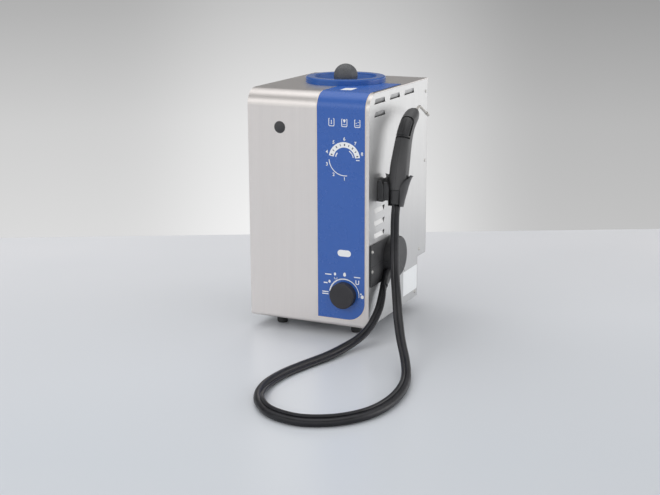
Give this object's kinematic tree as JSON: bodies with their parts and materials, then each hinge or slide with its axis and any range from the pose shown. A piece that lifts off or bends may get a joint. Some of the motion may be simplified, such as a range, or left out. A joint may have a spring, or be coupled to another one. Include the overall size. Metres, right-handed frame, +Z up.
{
  "type": "bench steam cleaner",
  "caption": "Upright steel-cased steam generator with a screw-capped filler on top, a selector knob and a hand-held steam piece that hangs in a side holder on a twin hose.",
  "frame": {"origin": "on the standing surface, under the middle of the casing", "axes": "+Z up; the front of the casing faces -Y; the holder for the handpiece is on the +X side"},
  "size_m": [0.4292, 0.7444, 0.501],
  "materials": {
    "brushed_front": "satin, fine vertical grain",
    "panel_steel": "satin sheet steel",
    "tray_steel": "plain sheet steel",
    "film_blue": "matt printed film",
    "collar_blue": "semi-gloss moulding",
    "knob_black": "fine matt moulding",
    "ball_grey": "matt speckled moulding",
    "moulding_grey": "fine matt moulding",
    "handle_grey": "smooth semi-matt moulding",
    "foot_rubber": "matt rubber",
    "hose_rubber": "satin rubber",
    "seal_rubber": "matt silicone rubber",
    "screw_steel": "plated",
    "boiler_steel": "welded stainless steel",
    "nozzle_steel": "polished",
    "fitting_brass": "machined",
    "pipe_copper": "drawn tube",
    "board_green": "lacquered board",
    "lamp_clear": "clear lens",
    "jacket_felt": "mineral felt",
    "electric_black": "semi-gloss moulding"
  },
  "bodies": {
    "casing": {"front_top_cover": "brushed_front", "right_side_panel": "panel_steel", "left_side_panel": "panel_steel", "rear_panel_upper": "panel_steel", "rear_panel_lower": "panel_steel", "base_tray": "tray_steel", "feet": "foot_rubber", "foot_screws": "screw_steel", "casing_screws": "screw_steel", "front_film": "film_blue", "blanking_plug": "moulding_grey", "display_board": "board_green", "indicator_lamps": "lamp_clear", "selector_switch": "electric_black", "filler_collar": "collar_blue", "boiler_shell": "boiler_steel", "insulation_jacket": "jacket_felt", "boiler_stand": "tray_steel", "heater_flange": "boiler_steel", "heater_element": "boiler_steel", "safety_valve": "fitting_brass", "pressure_switch": "electric_black", "level_probes": "screw_steel", "solenoid_valve": "fitting_brass", "solenoid_coil": "electric_black", "steam_pipe_inlet": "pipe_copper", "steam_pipe_outlet": "pipe_copper", "drain_pipe": "pipe_copper", "drain_plug": "moulding_grey", "control_board": "board_green", "board_standoffs": "screw_steel", "mains_inlet": "electric_black", "mains_inlet_screws": "screw_steel", "holder_block": "moulding_grey", "holder_cradle": "moulding_grey", "holder_screws": "screw_steel", "outlet_cover_upper": "moulding_grey", "outlet_cover_lower": "moulding_grey", "outlet_screws": "screw_steel", "hose_gland": "hose_rubber", "hose": "hose_rubber"},
    "selector": {"selector_knob": "knob_black", "selector_shaft": "screw_steel"},
    "cap_seal_ring": {"cap_seal": "seal_rubber"},
    "cap": {"boiler_cap": "moulding_grey", "cap_knob": "ball_grey"},
    "handpiece": {"handle_shell_left": "handle_grey", "handle_shell_right": "handle_grey", "handle_collar": "knob_black", "handle_screws": "screw_steel", "trigger_pin": "screw_steel", "trigger_spring": "screw_steel", "trigger_switch": "electric_black", "nozzle_tube": "nozzle_steel", "nozzle_ferrule": "nozzle_steel", "nozzle_tip": "nozzle_steel"},
    "trigger": {"trigger_button": "knob_black"}
  },
  "joints": [
    {"name": "selector_turn", "type": "hinge", "parent": "casing", "child": "selector", "pos_m": [0.075, -0.156, 0.0855], "axis": [0, -1, 0], "range_deg": [-95, 95]},
    {"name": "cap_lift", "type": "slide", "parent": "casing", "child": "cap_seal_ring", "axis": [0, 0, 1], "range_m": [0, 0.012]},
    {"name": "cap_turn", "type": "hinge", "parent": "cap_seal_ring", "child": "cap", "pos_m": [0, 0.025, 0.45], "axis": [0, 0, 1], "range_deg": [0, 1080]},
    {"name": "handpiece_lift", "type": "slide", "parent": "casing", "child": "handpiece", "axis": [0, 0.242, 0.9703], "range_m": [0, 0.07]},
    {"name": "trigger_press", "type": "hinge", "parent": "handpiece", "child": "trigger", "pos_m": [0.158, -0.06501, 0.37998], "axis": [-1, 0, 0], "range_deg": [0, 4], "stiffness_Nm_per_rad": 1, "springref_deg": -3.44}
  ],
  "couplings": [
    {"joint": "cap_lift", "follows": "cap_turn", "m_per_rad": 0.0006366}
  ]
}
